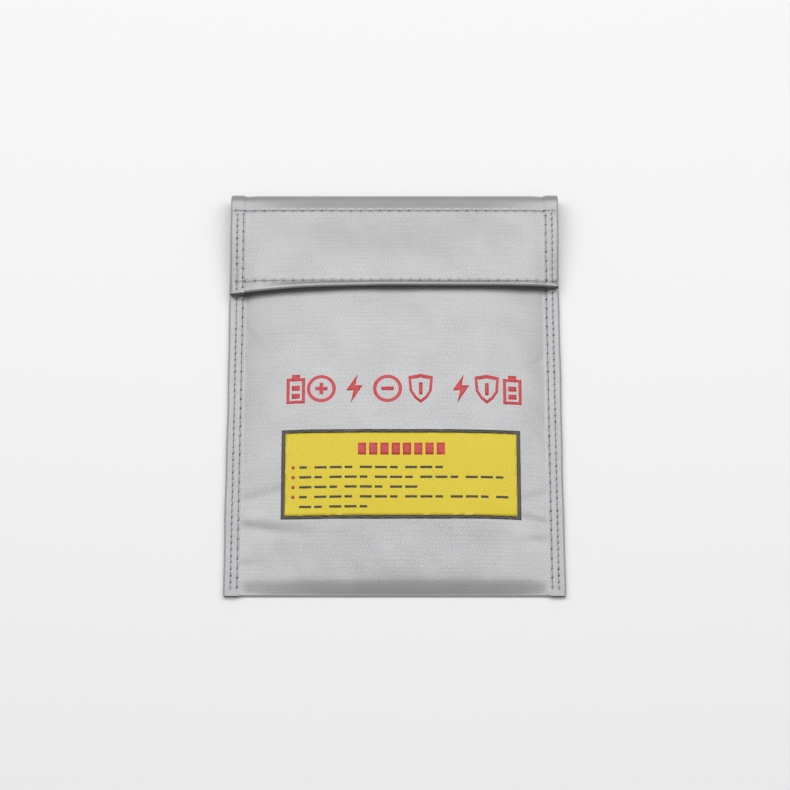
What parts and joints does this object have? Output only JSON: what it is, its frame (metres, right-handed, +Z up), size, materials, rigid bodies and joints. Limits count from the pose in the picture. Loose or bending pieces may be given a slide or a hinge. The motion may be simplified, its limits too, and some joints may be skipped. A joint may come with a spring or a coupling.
{
  "type": "battery charging pouch",
  "caption": "Flat fire-resistant cloth pouch with bound sides, a folded bottom edge and a hook-and-loop flap that turns over the mouth; printed label on the front.",
  "frame": {"origin": "middle of the underside, where the pouch's back lies on the table, under the middle of its box", "axes": "+X to the right across the front, +Y from the bottom fold to the top fold, +Z up, out of the printed front"},
  "size_m": [0.18, 0.2297, 0.0142],
  "materials": {
    "silver_cloth": "satin coated weave",
    "binding_cloth": "satin coated weave",
    "grey_thread": "twisted thread",
    "loop_pile": "brushed loops",
    "hook_field": "moulded hooks",
    "red_ink": "screen print",
    "yellow_ink": "screen print",
    "dark_ink": "screen print"
  },
  "bodies": {
    "bag": {"back_panel": "silver_cloth", "front_panel": "silver_cloth", "mouth_hem": "silver_cloth", "top_fold": "silver_cloth", "left_side_binding": "binding_cloth", "right_side_binding": "binding_cloth", "loop_tape": "loop_pile", "left_edge_stitches": "grey_thread", "left_seam_stitches": "grey_thread", "right_edge_stitches": "grey_thread", "right_seam_stitches": "grey_thread", "mouth_stitches": "grey_thread", "loop_tape_stitches": "grey_thread", "title_print": "red_ink", "label_field": "yellow_ink", "label_border": "dark_ink", "label_heading": "red_ink", "label_lines": "dark_ink"},
    "flap": {"flap_outer": "silver_cloth", "flap_lining": "silver_cloth", "flap_left_binding": "binding_cloth", "flap_right_binding": "binding_cloth", "hook_tape": "hook_field", "flap_top_stitches": "grey_thread", "flap_hem_stitches": "grey_thread", "flap_left_stitches": "grey_thread", "flap_right_stitches": "grey_thread", "hook_tape_stitches": "grey_thread"}
  },
  "joints": [
    {"name": "flap_fold", "type": "hinge", "parent": "bag", "child": "flap", "pos_m": [0, 0.1142, 0.0072], "axis": [-1, 0, 0], "range_deg": [0, 178]}
  ]
}
